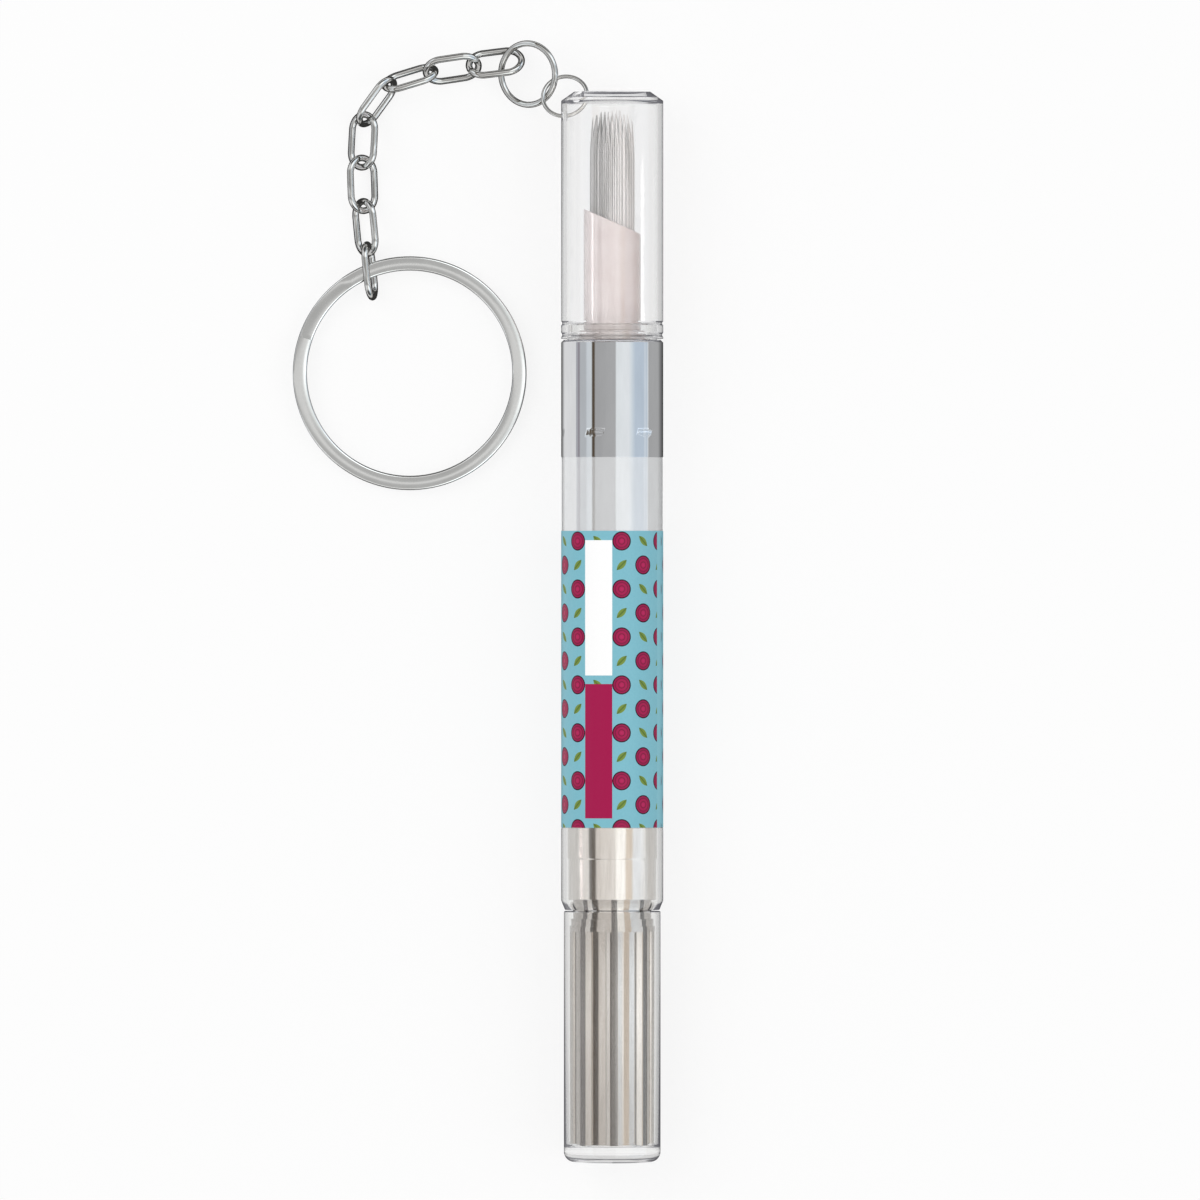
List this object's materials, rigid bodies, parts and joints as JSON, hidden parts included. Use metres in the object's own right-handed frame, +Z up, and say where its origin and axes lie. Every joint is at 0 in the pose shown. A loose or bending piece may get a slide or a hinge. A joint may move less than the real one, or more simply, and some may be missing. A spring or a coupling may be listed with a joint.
{
  "type": "cuticle oil keyring",
  "caption": "Slim clear twist pen for cuticle oil with a brush under a clear cap, hung by a short oval-link chain from a flat split key ring.",
  "frame": {"origin": "on the table, under the middle of the whole object's bounding box", "axes": "+Y along the pen from the twist knob to the cap, +Z up from the table, +X to the right of the pen as it is seen from above with its cap pointing away"},
  "size_m": [0.0434, 0.1316, 0.0119],
  "materials": {
    "knob_clear_plastic": "clear polished",
    "insert_silver_plastic": "metallised silver",
    "bush_acetal": "satin",
    "click_acetal": "satin",
    "sleeve_satin_silver": "satin metallised silver",
    "nut_acetal": "satin",
    "piston_polyethylene": "satin",
    "rod_white_plastic": "satin",
    "barrel_clear_plastic": "clear polished",
    "label_film": "printed film",
    "collar_metallised_silver": "metallised silver",
    "seat_polypropylene": "moulded gloss",
    "holder_polypropylene": "moulded gloss",
    "tube_white_plastic": "extruded",
    "bristle_nylon": "fine nylon filaments",
    "cap_clear_plastic": "clear polished",
    "polished_steel": "polished nickel plate"
  },
  "bodies": {
    "pen": {"barrel_tube": "barrel_clear_plastic", "label_sleeve": "label_film", "silver_collar": "collar_metallised_silver", "nozzle_seat": "seat_polypropylene", "brush_holder": "holder_polypropylene", "feed_tube": "tube_white_plastic", "brush_bristles": "bristle_nylon", "ratchet_sleeve": "sleeve_satin_silver", "click_ring": "click_acetal", "thread_nut": "nut_acetal"},
    "knob": {"knob_sleeve": "knob_clear_plastic", "knob_insert": "insert_silver_plastic", "drive_bush": "bush_acetal"},
    "piston": {"piston": "piston_polyethylene"},
    "screw_rod": {"screw_rod": "rod_white_plastic"},
    "cap": {"cap": "cap_clear_plastic"},
    "small_ring": {"small_jump_ring": "polished_steel"},
    "large_ring": {"large_jump_ring": "polished_steel"},
    "link_1": {"chain_link_1": "polished_steel"},
    "link_2": {"chain_link_2": "polished_steel"},
    "link_3": {"chain_link_3": "polished_steel"},
    "link_4": {"chain_link_4": "polished_steel"},
    "link_5": {"chain_link_5": "polished_steel"},
    "link_6": {"chain_link_6": "polished_steel"},
    "link_7": {"chain_link_7": "polished_steel"},
    "link_8": {"chain_link_8": "polished_steel"},
    "key_ring": {"split_key_ring": "polished_steel"}
  },
  "joints": [
    {"name": "cap_pull", "type": "slide", "parent": "pen", "child": "cap", "axis": [0, 1, 0], "range_m": [0, 0.035]},
    {"name": "knob_turn", "type": "hinge", "parent": "pen", "child": "knob", "pos_m": [0.01575, -0.05, 0.00597], "axis": [0, 1, 0], "range_deg": [0, 3600]},
    {"name": "piston_feed", "type": "slide", "parent": "pen", "child": "piston", "axis": [0, 1, 0], "range_m": [0, 0.0305]},
    {"name": "screw_spin", "type": "hinge", "parent": "piston", "child": "screw_rod", "pos_m": [0.01575, -0.04, 0.00597], "axis": [0, 1, 0], "range_deg": [0, 3610]},
    {"name": "small_ring_swing", "type": "hinge", "parent": "cap", "child": "small_ring", "pos_m": [0.01282, 0.05915, 0.00561], "axis": [-0.7417, -0.6362, 0.2124], "range_deg": [-50, 15]},
    {"name": "large_ring_swing", "type": "hinge", "parent": "small_ring", "child": "large_ring", "pos_m": [0.00812, 0.06043, 0.00438], "axis": [-0.587, -0.7557, 0.2904], "range_deg": [-40, 35]},
    {"name": "link_1_swing", "type": "hinge", "parent": "large_ring", "child": "link_1", "pos_m": [0.00294, 0.06326, 0.00175], "axis": [0.3241, 0.9126, 0.2493], "range_deg": [-60, 60]},
    {"name": "link_2_swing", "type": "hinge", "parent": "link_1", "child": "link_2", "pos_m": [-0.00104, 0.06277, 0.00171], "axis": [0.0862, -0.7018, 0.7071], "range_deg": [-60, 10]},
    {"name": "link_3_swing", "type": "hinge", "parent": "link_2", "child": "link_3", "pos_m": [-0.00608, 0.06201, 0.00177], "axis": [0.0977, -0.662, -0.7431], "range_deg": [-30, 60]},
    {"name": "link_4_swing", "type": "hinge", "parent": "link_3", "child": "link_4", "pos_m": [-0.01094, 0.06044, 0.00206], "axis": [0.1282, -0.4192, 0.8988], "range_deg": [-25, 5]},
    {"name": "link_5_swing", "type": "hinge", "parent": "link_4", "child": "link_5", "pos_m": [-0.01368, 0.05606, 0.00206], "axis": [0.3546, -0.2577, -0.8988], "range_deg": [-10, 60]},
    {"name": "link_6_swing", "type": "hinge", "parent": "link_5", "child": "link_6", "pos_m": [-0.01364, 0.05091, 0.00169], "axis": [0.7184, -0.0376, 0.6947], "range_deg": [-60, 60]},
    {"name": "link_7_swing", "type": "hinge", "parent": "link_6", "child": "link_7", "pos_m": [-0.01342, 0.04581, 0.00164], "axis": [0.7427, 0.0259, -0.6691], "range_deg": [-15, 60]},
    {"name": "link_8_swing", "type": "hinge", "parent": "link_7", "child": "link_8", "pos_m": [-0.01289, 0.04074, 0.00193], "axis": [0.5566, 0.0536, 0.829], "range_deg": [-20, 10]},
    {"name": "key_ring_swing", "type": "hinge", "parent": "link_8", "child": "key_ring", "pos_m": [-0.01268, 0.03875, 0.00221], "axis": [0.9317, 0.3633, 0], "range_deg": [-60, 60]}
  ],
  "couplings": [
    {"joint": "piston_feed", "follows": "knob_turn", "m_per_rad": 0.00047746},
    {"joint": "screw_spin", "follows": "knob_turn", "ratio": 1}
  ]
}
